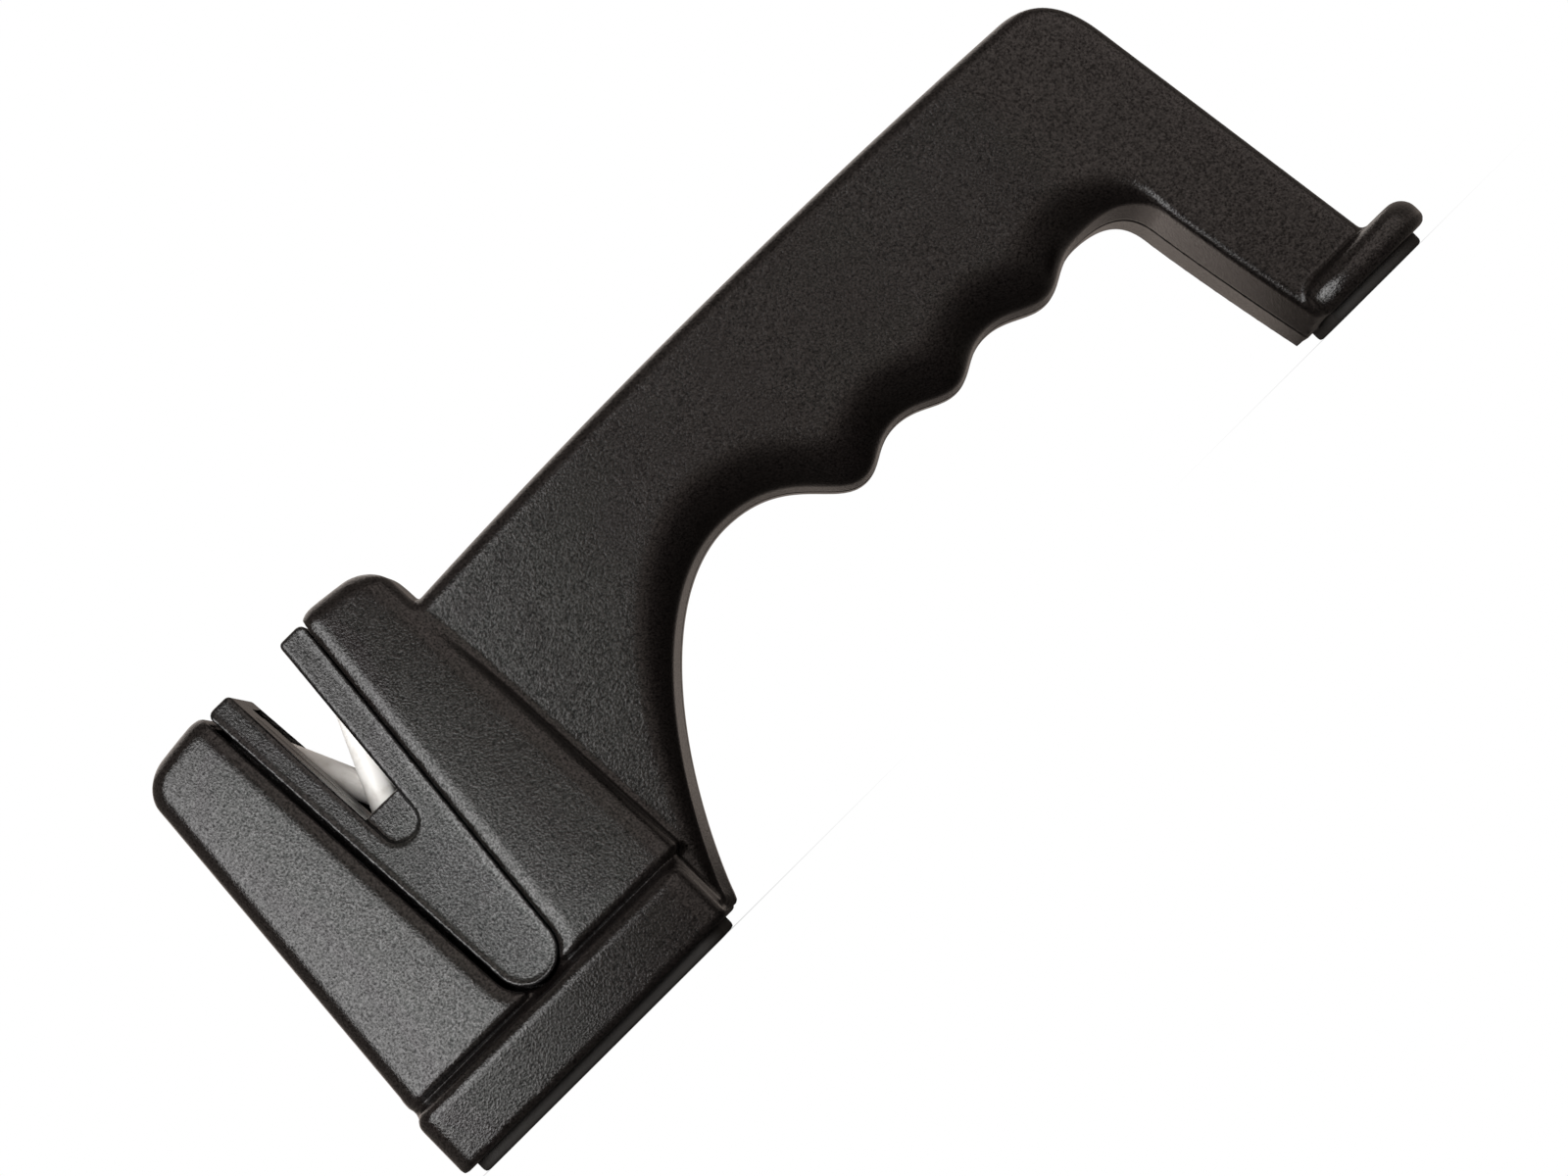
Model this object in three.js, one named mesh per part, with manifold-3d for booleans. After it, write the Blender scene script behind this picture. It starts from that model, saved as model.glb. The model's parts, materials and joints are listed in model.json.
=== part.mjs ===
// Hand-held ceramic rod sharpener that stands on a wide head and a rear foot.
// Two moulded half shells meet at the middle of the thickness. They clamp a split rod holder, whose
// wedge-shaped tongue fills a window in the head and carries two crossed ceramic rods.
// Millimetres. X runs from the head towards the rear foot, Y through the thickness with the parting
// plane at 0 and the near side negative, Z up from the table. The origin is under the head's centre.

import * as THREE from 'three';
import { mergeVertices } from 'three/addons/utils/BufferGeometryUtils.js';
import Module from 'manifold-3d';

const wasm = await Module();
wasm.setup();

// Fits
const wall = 2.5;
const clearance = 0.3;

// Head: a block that widens downwards, on a plinth
const headHeight = 81.8;
const headTopHalfWidth = 25.4;
const headFootHalfWidth = 29.2;
const headShift = -0.3;
const headTopHalfDepth = 13;
const headFootHalfDepth = 23.5;
const headDraft = 0.6;
const headCorner = 4.5;
const headTopRoundWidth = 9;
const headTopRoundHeight = 6.5;
const headTopRoundDepth = 3;
const cheekFootRound = 2.5;
const plinthHeight = 13;
const plinthHalfWidth = 28.4;
const plinthHalfDepth = 28;
const plinthShift = -1.35;
const plinthRound = 2.5;
const plinthFootRound = 0.8;
const valleyHeight = 1.5;
const valleyDepth = 2.2;
const valleySideDepth = 0.4;

// Window in the head and the tongue that fills it
const tongueTopHalfWidth = 10.5;
const tongueFootHalfWidth = 5.5;
const tongueFoot = 14.6;
const tongueGap = 0.5;
const tongueRecess = 2;
const tongueTopDrop = 0.5;

// Knife slot, open at the top of the tongue
const slotTopHalfWidth = 5.5;
const slotFootHalfWidth = 3.1;
const slotFoot = 44.9;
const slotFloor = 52;
const slotStep = 2;
const slitDepth = 2.4;
const slitTopDrop = 3;

// Crossed rods and the block inside the head that holds them
const rodDiameter = 4.76;
const rodTilt = THREE.MathUtils.degToRad(24);
const rodCrossing = 53.9;
const rodReachUp = 19.8;
const rodReachDown = 21.8;
const rodGap = 0.34;
const rodChamfer = 0.5;
const blockWall = 1.8;
const shelfThickness = 2.5;
const holderRibWidth = 2.5;

// Handle, web and rear leg
const bodyHalfThickness = 12.8;
const bodyDraft = 1.3;
const bodyFarDraft = 0.2;
const handleTopAtHead = 70.2;
const handleCrown = 73.65;
const handleTopAtRear = 72.25;
const webFootHeight = 2.2;
const webFootProud = 0.9;
const archCrownHeight = 46.1;
const archFallRun = 21.3;
const ridgeHeight = 35.3;
const grooveDepth = 2.9;
const ridgePitch = 20.3;
const grooveCount = 3;
const gripRun = 65.9;
const legReach = 155.8;
const legInnerLean = 5.2;
const legInnerTopHeight = 31.5;
const legFootWidth = 18.1;
const legOuterLean = 7.5;
const rearCorner = 12.8;
const archClimbRun = 7;
const archClimbRise = 19.3;
const archCrownEase = 17;
const archFallEase = 9;
const ridgeEase = 5;
const waveEase = 4;
const groovePlace = 0.46;
const kneeEase = 7;
const kneeDrop = 4.5;
const shinDrop = 11.5;
const shinLean = 1.6;
const gripRound = 8;
const topRound = 3;
const legInnerRound = 1;

// Foot flange under the leg
const flangeHeight = 7.8;
const flangeSetback = 11.7;
const flangeHalfLength = 14.4;
const flangeHalfWidth = 17;
const flangeRound = 2.5;
const flangeFlatSetback = 1.5;

// Rubber pads, let into the plinth and the flange
const padProud = 2;
const padRecess = 1.5;
const basePadMargin = 2.8;
const basePadCorner = 4;
const footPadMargin = 3;
const footPadFlatMargin = 0.9;

// Screws, driven from the far side into bosses on the near shell
const screwShaftRadius = 1.5;
const screwHeadRadius = 3.1;
const screwHeadHeight = 2.1;
const screwReach = 9;
const screwSeat = 3;
const screwTip = 2;
const screwSlotWidth = 0.9;
const screwSlotDepth = 0.9;
const bossWall = 1.7;
const headScrewX = 19.5;
const headScrewHeight = 22;
const handleScrewHeight = 55;
const webScrewRun = 24.6;
const handleScrewRun = 14.1;
const legScrewHeight = 36;
const legScrewRun = 4.2;

// Sizes that follow from those
const rodRadius = rodDiameter / 2;
const rodOffset = rodRadius + rodGap / 2;
const channelRadius = rodRadius + clearance;
const blockHalfDepth = rodOffset + channelRadius + blockWall;
const blockTop = rodCrossing + rodReachUp * Math.cos(rodTilt) + rodRadius + blockWall;
const blockFoot = rodCrossing - rodReachDown * Math.cos(rodTilt) - rodRadius - blockWall;
const blockHalfWidth = Math.max(rodReachUp, rodReachDown) * Math.sin(rodTilt) + rodRadius + blockWall;
const cheekFoot = plinthHeight + valleyHeight;
const webFootX = plinthHalfWidth + plinthShift + webFootProud;
const legInnerFootX = legReach;
const legInnerTopX = legReach - legInnerLean;
const legOuterFootX = legReach + legFootWidth;
const legOuterTopX = legOuterFootX - legOuterLean;
const flangeCentreX = legReach + flangeSetback;
const firstRidgeX = legReach - gripRun;
const archCrownX = firstRidgeX - archFallRun;
const slotTaper = (slotTopHalfWidth - slotFootHalfWidth) / (headHeight - slotFoot - slotFootHalfWidth);
const farEnough = headHeight * 2 + legOuterFootX + flangeHalfLength;

// Turning closed geometry into solids and back
function solid(geometry) {
  const bare = geometry.clone();
  bare.deleteAttribute('normal');
  bare.deleteAttribute('uv');
  const merged = mergeVertices(bare);
  return new wasm.Manifold(new wasm.Mesh({
    numProp: 3,
    vertProperties: new Float32Array(merged.attributes.position.array),
    triVerts: new Uint32Array(merged.index.array),
  }));
}

function meshGeometry(body) {
  const mesh = body.getMesh();
  const geometry = new THREE.BufferGeometry();
  geometry.setAttribute('position', new THREE.BufferAttribute(mesh.vertProperties, 3));
  geometry.setIndex(new THREE.BufferAttribute(mesh.triVerts, 1));
  geometry.computeVertexNormals();
  return geometry;
}

// A closed skin over rings of equal count, with flat ends; flat2d drops a ring point to the end plane
function loft(rings, flat2d) {
  const count = rings[0].length;
  const positions = rings.flat().flatMap((point) => [point.x, point.y, point.z]);
  const index = [];
  for (let ring = 0; ring + 1 < rings.length; ring += 1) {
    for (let i = 0; i < count; i += 1) {
      const next = (i + 1) % count;
      const low = ring * count;
      const high = low + count;
      index.push(low + i, low + next, high + next, low + i, high + next, high + i);
    }
  }
  const last = (rings.length - 1) * count;
  for (const [a, b, c] of THREE.ShapeUtils.triangulateShape(rings[0].map(flat2d), [])) {
    index.push(c, b, a);
  }
  for (const [a, b, c] of THREE.ShapeUtils.triangulateShape(rings.at(-1).map(flat2d), [])) {
    index.push(last + a, last + b, last + c);
  }
  const geometry = new THREE.BufferGeometry();
  geometry.setAttribute('position', new THREE.Float32BufferAttribute(positions, 3));
  geometry.setIndex(index);
  return solid(geometry);
}

// An outline drawn in X and Z, carried through the thickness from yLow to yHigh
function prism(shape, yLow, yHigh, curveSegments = 6) {
  const geometry = new THREE.ExtrudeGeometry(shape, {
    depth: yHigh - yLow,
    bevelEnabled: false,
    curveSegments,
  });
  geometry.rotateX(Math.PI / 2);
  geometry.translate(0, yHigh, 0);
  return solid(geometry);
}

function box(low, high) {
  const geometry = new THREE.BoxGeometry(high.x - low.x, high.y - low.y, high.z - low.z);
  geometry.translate((low.x + high.x) / 2, (low.y + high.y) / 2, (low.z + high.z) / 2);
  return solid(geometry);
}

function pinAlongY(radius, place, yLow, yHigh, sides = 16) {
  const geometry = new THREE.CylinderGeometry(radius, radius, yHigh - yLow, sides);
  geometry.translate(place.x, (yLow + yHigh) / 2, place.y);
  return solid(geometry);
}

// The half of space on one side of the parting plane: -1 near, 1 far
function halfSpace(side) {
  const low = new THREE.Vector3(-farEnough, side < 0 ? -farEnough : 0, -farEnough);
  const high = new THREE.Vector3(farEnough, side < 0 ? 0 : farEnough, farEnough);
  return box(low, high);
}

// Head: level rings with six sides, widest at the parting plane, with rounded corners
function headRing(height, halfWidth, halfDepth, shift = headShift) {
  const faceHalfWidth = halfWidth - headDraft;
  const corners = [
    new THREE.Vector2(faceHalfWidth, halfDepth),
    new THREE.Vector2(-faceHalfWidth, halfDepth),
    new THREE.Vector2(-faceHalfWidth, -halfDepth),
    new THREE.Vector2(faceHalfWidth, -halfDepth),
  ];
  const right = new THREE.Vector2(halfWidth, 0);
  const left = new THREE.Vector2(-halfWidth, 0);
  const before = [right, corners[0], left, corners[2]];
  const after = [corners[1], left, corners[3], right];
  const points = [right];
  corners.forEach((corner, i) => {
    const start = corner.clone().add(before[i].clone().sub(corner).setLength(headCorner));
    const end = corner.clone().add(after[i].clone().sub(corner).setLength(headCorner));
    points.push(...new THREE.QuadraticBezierCurve(start, corner, end).getPoints(4));
    if (i === 1) {
      points.push(left);
    }
  });
  return points.map((point) => new THREE.Vector3(point.x + shift, point.y, height));
}

function cheekHalfWidth(height) {
  const share = (height - cheekFoot) / (headHeight - cheekFoot);
  return THREE.MathUtils.lerp(headFootHalfWidth, headTopHalfWidth, share);
}

function cheekHalfDepth(height) {
  const share = (height - cheekFoot) / (headHeight - cheekFoot);
  return THREE.MathUtils.lerp(headFootHalfDepth, headTopHalfDepth, share);
}

const roundSteps = [0, 30, 60, 90].map((angle) => THREE.MathUtils.degToRad(angle));
const levelPlane = (point) => new THREE.Vector2(point.x, point.y);

// The cheeks' block, drawn in by shrink, with a rounded foot where footRound is set and a domed top
function cheekBlock(shrink, foot, footRound, top) {
  const rings = [];
  for (const angle of footRound > 0 ? roundSteps : [Math.PI / 2]) {
    const height = foot + footRound * (1 - Math.cos(angle));
    const inset = shrink + footRound * (1 - Math.sin(angle));
    rings.push(headRing(height, cheekHalfWidth(height) - inset, cheekHalfDepth(height) - inset));
  }
  for (const angle of roundSteps) {
    const height = top - headTopRoundHeight * (1 - Math.sin(angle));
    const bend = 1 - Math.cos(angle);
    const halfWidth = cheekHalfWidth(height) - shrink - headTopRoundWidth * bend;
    rings.push(headRing(height, halfWidth, cheekHalfDepth(height) - shrink - headTopRoundDepth * bend));
  }
  return loft(rings, levelPlane);
}

function plinthBlock() {
  const ring = (height, inset) => {
    return headRing(height, plinthHalfWidth - inset, plinthHalfDepth - inset, plinthShift);
  };
  const lower = roundSteps.map((angle) => {
    return ring(padProud + plinthFootRound * (1 - Math.cos(angle)), plinthFootRound * (1 - Math.sin(angle)));
  });
  const upper = roundSteps.map((angle) => {
    return ring(plinthHeight - plinthRound * (1 - Math.sin(angle)), plinthRound * (1 - Math.cos(angle)));
  });
  return loft([...lower, ...upper], levelPlane);
}

// The neck between plinth and cheeks, drawn in by shrink: a valley in front, nearly flush at the sides
function neckBlock(shrink, foot, top) {
  const halfWidth = Math.min(headFootHalfWidth, plinthHalfWidth) - valleySideDepth - shrink;
  const halfDepth = Math.min(headFootHalfDepth, plinthHalfDepth) - valleyDepth - shrink;
  const ring = (height) => headRing(height, halfWidth, halfDepth, (headShift + plinthShift) / 2);
  return loft([ring(foot), ring(top)], levelPlane);
}

function headSolid() {
  const neck = neckBlock(0, padProud + plinthRound, cheekFoot + cheekFootRound * 2);
  return plinthBlock().add(neck).add(cheekBlock(0, cheekFoot, cheekFootRound, headHeight));
}

function headCavity() {
  const floor = padProud + padRecess + wall;
  const shoulder = cheekFoot + cheekFootRound + wall;
  const upper = cheekBlock(wall, shoulder, 0, headHeight - wall);
  return neckBlock(wall, floor, shoulder + wall).add(upper);
}

// Handle, web and leg: one outline in X and Z, as stretches that each say how round their edge is
const at = (x, z) => new THREE.Vector2(x, z);

function levelEnded(from, to, leave, arrive) {
  return new THREE.CubicBezierCurve(from, at(from.x + leave, from.y), at(to.x - arrive, to.y), to);
}

function bodyOutline() {
  const webFoot = at(webFootX, webFootHeight);
  const archCrown = at(archCrownX, archCrownHeight);
  const archClimb = at(webFoot.x + archClimbRun, webFootHeight + archClimbRise);
  const archLevel = at(archCrownX - archCrownEase, archCrownHeight);
  const ridge = (i) => at(firstRidgeX + i * ridgePitch, ridgeHeight);
  const groove = (i) => at(firstRidgeX + (i + groovePlace) * ridgePitch, ridgeHeight + grooveDepth);
  const lastGroove = groove(grooveCount - 1);
  const legInnerTop = at(legInnerTopX, legInnerTopHeight);
  const legInnerFoot = at(legInnerFootX, padProud);
  const legOuterFoot = at(legOuterFootX, padProud);
  const legOuterTop = at(legOuterTopX, handleTopAtRear - rearCorner);
  const rearTop = at(legOuterTopX - rearCorner, handleTopAtRear);
  const legSlope = (legOuterFootX - legOuterTopX) / (legOuterTop.y - padProud);
  const rearTip = at(legOuterTopX - legSlope * rearCorner, handleTopAtRear);
  const headTop = at(0, handleTopAtHead);
  const topBow = at(rearTop.x / 2, 2 * handleCrown - (handleTopAtHead + handleTopAtRear) / 2);
  const stretches = [
    [new THREE.CubicBezierCurve(webFoot, archClimb, archLevel, archCrown), 12, legInnerRound, gripRound],
    [levelEnded(archCrown, ridge(0), archFallEase, ridgeEase), 5, gripRound, gripRound],
  ];
  const halfWave = (from, to) => [levelEnded(from, to, waveEase, waveEase), 4, gripRound, gripRound, true];
  for (let i = 0; i < grooveCount; i += 1) {
    stretches.push(halfWave(ridge(i), groove(i)));
    if (i + 1 < grooveCount) {
      stretches.push(halfWave(groove(i), ridge(i + 1)));
    }
  }
  const shin = at(legInnerTopX + shinLean, legInnerTopHeight - shinDrop);
  const shinUp = legInnerTop.clone().sub(shin).setLength(kneeDrop);
  const kneeLevel = at(lastGroove.x + kneeEase, lastGroove.y);
  const knee = new THREE.CubicBezierCurve(lastGroove, kneeLevel, legInnerTop.clone().add(shinUp), legInnerTop);
  stretches.push(
    [knee, 6, gripRound, legInnerRound],
    [new THREE.QuadraticBezierCurve(legInnerTop, shin, legInnerFoot), 5, legInnerRound, legInnerRound],
    [new THREE.LineCurve(legInnerFoot, legOuterFoot), 2, legInnerRound, topRound],
    [new THREE.LineCurve(legOuterFoot, legOuterTop), 4, topRound, topRound],
    [new THREE.QuadraticBezierCurve(legOuterTop, rearTip, rearTop), 6, topRound, topRound],
    [new THREE.QuadraticBezierCurve(rearTop, topBow, headTop), 12, topRound, topRound],
    [new THREE.LineCurve(headTop, at(0, webFootHeight)), 1, topRound, topRound],
    [new THREE.LineCurve(at(0, webFootHeight), webFoot), 1, topRound, legInnerRound],
  );
  const outline = [];
  for (const [curve, steps, roundStart, roundEnd, upright = false] of stretches) {
    for (let i = 0; i < steps; i += 1) {
      const share = i / steps;
      const round = THREE.MathUtils.lerp(roundStart, roundEnd, share);
      outline.push({ point: curve.getPoint(share), round, upright });
    }
  }
  return outline;
}

// Each outline point's way into the material, lengthened at corners so that an inset keeps its width
function inwardWay(outline, i) {
  if (outline[i].upright) {
    return at(0, 1);
  }
  const count = outline.length;
  const here = outline[i].point;
  const into = here.clone().sub(outline[(i + count - 1) % count].point).normalize();
  const out = outline[(i + 1) % count].point.clone().sub(here).normalize();
  const way = at(-into.y - out.y, into.x + out.x).normalize();
  const square = Math.max(way.dot(at(-into.y, into.x)), 0.6);
  return way.divideScalar(square);
}

function bodySolid(shrink) {
  const outline = bodyOutline();
  const ways = outline.map((entry, i) => inwardWay(outline, i));
  const halfThickness = bodyHalfThickness - shrink;
  const ring = (side, angle) => outline.map(({ point, round }, i) => {
    const edge = Math.max(round - shrink, legInnerRound / 2);
    const y = angle === null ? 0 : halfThickness - edge * (1 - Math.sin(angle));
    const bend = angle === null ? 0 : edge * (1 - Math.cos(angle));
    const draft = side < 0 ? bodyDraft : bodyFarDraft;
    const inset = shrink + draft * (y / bodyHalfThickness) + bend;
    const moved = point.clone().addScaledVector(ways[i], inset);
    return new THREE.Vector3(moved.x, side * y, moved.y);
  });
  const near = roundSteps.toReversed().map((angle) => ring(-1, angle));
  const far = roundSteps.map((angle) => ring(1, angle));
  const rings = [...near, ring(1, null), ...far].reverse();
  return loft(rings, (point) => at(point.x, point.z));
}

// Foot flange: half an oval and a bit, flat towards the grip
function footRing(height, inset, flatSetback = flangeFlatSetback) {
  const halfLength = flangeHalfLength - inset;
  const halfWidth = flangeHalfWidth - inset;
  const flatX = legInnerFootX + flatSetback - flangeCentreX;
  const flatAngle = Math.acos(THREE.MathUtils.clamp(flatX / flangeHalfLength, -1, 1));
  const steps = 22;
  const points = [];
  for (let i = 0; i <= steps; i += 1) {
    const angle = -flatAngle + (2 * flatAngle * i) / steps;
    const x = Math.max(halfLength * Math.cos(angle), flatX);
    points.push(new THREE.Vector3(flangeCentreX + x, halfWidth * Math.sin(angle), height));
  }
  return points;
}

function footFlange() {
  const rings = [footRing(padProud, flangeRound / 4), footRing(padProud + flangeRound / 4, 0)];
  for (const angle of roundSteps) {
    const height = flangeHeight - flangeRound * (1 - Math.sin(angle));
    rings.push(footRing(height, flangeRound * (1 - Math.cos(angle))));
  }
  return loft(rings, levelPlane);
}

// Wedge outline of the tongue, widened by grow for the window around it
function tongueShape(grow) {
  const foot = tongueFoot - grow;
  const halfFoot = tongueFootHalfWidth + grow;
  const halfTop = tongueTopHalfWidth + grow;
  const shape = new THREE.Shape();
  shape.moveTo(halfTop, headHeight);
  shape.lineTo(halfTop, headHeight * 2);
  shape.lineTo(-halfTop, headHeight * 2);
  shape.lineTo(-halfTop, headHeight);
  shape.lineTo(-halfFoot, foot + halfFoot);
  shape.absarc(0, foot + halfFoot, halfFoot, Math.PI, 2 * Math.PI);
  shape.lineTo(halfTop, headHeight);
  return shape;
}

const slotHalfWidth = (height) => slotTopHalfWidth - (headHeight - height) * slotTaper;

// Knife slot: open above a flat floor, with a shallow round-footed recess in the faces below it
function slotShape() {
  const shape = new THREE.Shape();
  shape.moveTo(slotTopHalfWidth, headHeight);
  shape.lineTo(slotTopHalfWidth, headHeight * 2);
  shape.lineTo(-slotTopHalfWidth, headHeight * 2);
  shape.lineTo(-slotTopHalfWidth, headHeight);
  shape.lineTo(-slotFootHalfWidth, slotFoot + slotFootHalfWidth);
  shape.absarc(0, slotFoot + slotFootHalfWidth, slotFootHalfWidth, Math.PI, 2 * Math.PI);
  shape.lineTo(slotTopHalfWidth, headHeight);
  return shape;
}

function flatFlooredSlotShape() {
  return new THREE.Shape([
    at(slotHalfWidth(slotFloor), slotFloor),
    at(slotTopHalfWidth, headHeight),
    at(-slotTopHalfWidth, headHeight),
    at(-slotHalfWidth(slotFloor), slotFloor),
  ]);
}

// Slit in the prong that a rod leans into, on the side that the rod leans to
function slitShape(side) {
  const top = headHeight - slitTopDrop;
  const points = [
    at(0, slotFloor),
    at(side * (slotHalfWidth(slotFloor) + slitDepth), slotFloor),
    at(side * (slotHalfWidth(top) + slitDepth), top),
    at(0, top),
  ];
  return new THREE.Shape(side > 0 ? points : points.toReversed());
}

// A rod's way up, its middle and its length; the near rod leans to the rear, the far rod to the front
const rodLength = rodReachUp + rodReachDown;

function rodWay(side) {
  return new THREE.Vector3(-side * Math.sin(rodTilt), 0, Math.cos(rodTilt));
}

function rodMiddle(side) {
  const crossing = new THREE.Vector3(0, side * rodOffset, rodCrossing);
  return crossing.addScaledVector(rodWay(side), (rodReachUp - rodReachDown) / 2);
}

function rodChannel(side) {
  const geometry = new THREE.CylinderGeometry(channelRadius, channelRadius, rodLength + 2 * clearance, 24);
  const turn = new THREE.Quaternion().setFromUnitVectors(new THREE.Vector3(0, 1, 0), rodWay(side));
  geometry.applyQuaternion(turn);
  geometry.translate(...rodMiddle(side).toArray());
  return solid(geometry);
}

// Rod holder half: the tongue with its prongs and slot, and the block behind it with one rod channel
function rodHolder(side) {
  const tongueFaces = (recess) => {
    return cheekBlock(recess, tongueFoot - tongueGap, 0, headHeight - tongueTopDrop);
  };
  const tongue = prism(tongueShape(0), -farEnough, farEnough).intersect(tongueFaces(tongueRecess));
  const faceRecess = prism(slotShape(), -farEnough, farEnough)
    .subtract(tongueFaces(tongueRecess + slotStep));
  const block = box(
    new THREE.Vector3(-blockHalfWidth, -blockHalfDepth, blockFoot),
    new THREE.Vector3(blockHalfWidth, blockHalfDepth, blockTop),
  );
  const slot = prism(flatFlooredSlotShape(), -farEnough, farEnough);
  const slitNear = side < 0 ? -rodOffset - channelRadius : 0;
  const slit = prism(slitShape(-side), slitNear, slitNear + rodOffset + channelRadius);
  return tongue.subtract(faceRecess).add(block).subtract(slot)
    .intersect(halfSpace(side))
    .subtract(slit)
    .subtract(rodChannel(side));
}

// Screw places in X and Z
const screwPlaces = {
  screw_head_front: at(-headScrewX, headScrewHeight),
  screw_head_rear: at(headScrewX, headScrewHeight),
  screw_web: at(archCrownX - webScrewRun, handleScrewHeight),
  screw_handle: at(firstRidgeX + handleScrewRun, handleScrewHeight),
  screw_leg: at(legReach + legScrewRun, legScrewHeight),
};

// What a shell has inside: screw bosses, the holder's shelf, and ribs that press on the holder's block
function shellInside(side, outside) {
  const bossRadius = side < 0 ? screwShaftRadius + clearance + bossWall
    : screwHeadRadius + clearance + bossWall;
  const shelfTop = blockFoot - clearance;
  let inside = box(
    new THREE.Vector3(-blockHalfWidth, -farEnough, shelfTop - shelfThickness),
    new THREE.Vector3(blockHalfWidth, farEnough, shelfTop),
  );
  for (const place of Object.values(screwPlaces)) {
    inside = inside.add(pinAlongY(bossRadius, place, -farEnough, farEnough));
  }
  for (const way of [-1, 1]) {
    const edges = [way * blockHalfWidth, way * (blockHalfWidth - holderRibWidth)];
    const ribNear = blockHalfDepth + clearance;
    inside = inside.add(box(
      new THREE.Vector3(Math.min(...edges), side < 0 ? -farEnough : ribNear, blockFoot),
      new THREE.Vector3(Math.max(...edges), side < 0 ? -ribNear : farEnough, blockTop),
    ));
  }
  return inside.intersect(outside);
}

// Holes for one shell's screws: blind pilots on the near side, counterbores on the far side
function screwHoles(side) {
  const pilotRadius = screwShaftRadius + clearance;
  const holes = Object.values(screwPlaces).map((place) => {
    if (side < 0) {
      return pinAlongY(pilotRadius, place, -screwReach - clearance, clearance);
    }
    const counterbore = pinAlongY(screwHeadRadius + clearance, place, screwSeat, farEnough);
    return pinAlongY(pilotRadius, place, -clearance, screwSeat + clearance).add(counterbore);
  });
  return holes.reduce((all, hole) => all.add(hole));
}

// Pads: a rounded square under the plinth and a half oval under the flange, grown for their recesses
function basePadGeometry(grow) {
  const halfWidth = plinthHalfWidth - basePadMargin + grow;
  const halfDepth = plinthHalfDepth - basePadMargin + grow;
  const corner = basePadCorner + grow;
  const shape = new THREE.Shape();
  const right = plinthShift + halfWidth - corner;
  const left = plinthShift + corner - halfWidth;
  shape.absarc(right, halfDepth - corner, corner, 0, Math.PI / 2);
  shape.absarc(left, halfDepth - corner, corner, Math.PI / 2, Math.PI);
  shape.absarc(left, corner - halfDepth, corner, Math.PI, Math.PI * 1.5);
  shape.absarc(right, corner - halfDepth, corner, Math.PI * 1.5, Math.PI * 2);
  return new THREE.ExtrudeGeometry(shape, {
    depth: padProud + padRecess,
    bevelEnabled: false,
    curveSegments: 4,
  });
}

function footPadGeometry(grow) {
  const ring = footRing(0, footPadMargin - grow, footPadFlatMargin - grow);
  return new THREE.ExtrudeGeometry(new THREE.Shape(ring.map((point) => at(point.x, point.y))), {
    depth: padProud + padRecess,
    bevelEnabled: false,
  });
}

function shell(side) {
  const outside = headSolid().add(bodySolid(0)).add(footFlange()).intersect(halfSpace(side));
  const cavity = headCavity().add(bodySolid(wall));
  const padRecesses = solid(basePadGeometry(clearance)).add(solid(footPadGeometry(clearance)));
  return outside.subtract(cavity)
    .add(shellInside(side, outside))
    .subtract(prism(tongueShape(tongueGap), -farEnough, farEnough))
    .subtract(screwHoles(side))
    .subtract(padRecesses);
}

// A ceramic rod, upright at its middle, with chamfered ends
function rodGeometry() {
  const end = rodLength / 2;
  const profile = [
    at(0, -end),
    at(rodRadius - rodChamfer, -end),
    at(rodRadius, rodChamfer - end),
    at(rodRadius, end - rodChamfer),
    at(rodRadius - rodChamfer, end),
    at(0, end),
  ];
  return meshGeometry(solid(new THREE.LatheGeometry(profile, 24)));
}

// A pan-head screw with its seat at the origin, its head along +Y and a cross recess
function screwGeometry() {
  const point = -screwSeat - screwReach;
  const profile = [
    at(0, point),
    at(screwShaftRadius, point + screwTip),
    at(screwShaftRadius, 0),
    at(screwHeadRadius, 0),
    at(screwHeadRadius, screwHeadHeight * 0.55),
    at(screwHeadRadius * 0.7, screwHeadHeight),
    at(0, screwHeadHeight),
  ];
  const slot = (halfX, halfZ) => box(
    new THREE.Vector3(-halfX, screwHeadHeight - screwSlotDepth, -halfZ),
    new THREE.Vector3(halfX, screwHeadHeight * 2, halfZ),
  );
  const across = screwHeadRadius * 0.55;
  const cross = slot(across, screwSlotWidth / 2).add(slot(screwSlotWidth / 2, across));
  return meshGeometry(solid(new THREE.LatheGeometry(profile, 16)).subtract(cross));
}

// Materials, each piece with its own
function finish(color, roughness, metalness) {
  return new THREE.MeshStandardMaterial({ color, roughness, metalness });
}
const grainedPlastic = () => finish(0x2b2a28, 0.62, 0);
const holderPlastic = () => finish(0x3a3a3a, 0.66, 0);
const ceramic = () => finish(0xece9e4, 0.45, 0);
const rubber = () => finish(0x171717, 0.85, 0);
const zincSteel = () => finish(0xa8aaac, 0.35, 1);

// The sharpener: every piece by its name
const sharpener = new THREE.Group();

function addPiece(parent, name, geometry, material) {
  const mesh = new THREE.Mesh(geometry, material);
  mesh.name = name;
  parent.add(mesh);
  return mesh;
}

for (const [sideName, side] of [['near', -1], ['far', 1]]) {
  addPiece(sharpener, `${sideName}_shell`, meshGeometry(shell(side)), grainedPlastic());
  addPiece(sharpener, `${sideName}_rod_holder`, meshGeometry(rodHolder(side)), holderPlastic());
  const rod = addPiece(sharpener, `${sideName}_rod`, rodGeometry(), ceramic());
  rod.position.copy(rodMiddle(side));
  rod.quaternion.setFromUnitVectors(new THREE.Vector3(0, 1, 0), rodWay(side));
}

addPiece(sharpener, 'base_pad', basePadGeometry(0), rubber());
addPiece(sharpener, 'foot_pad', footPadGeometry(0), rubber());

for (const [name, place] of Object.entries(screwPlaces)) {
  const screw = addPiece(sharpener, name, screwGeometry(), zincSteel());
  screw.position.set(place.x, screwSeat, place.y);
}

export default sharpener;
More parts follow.
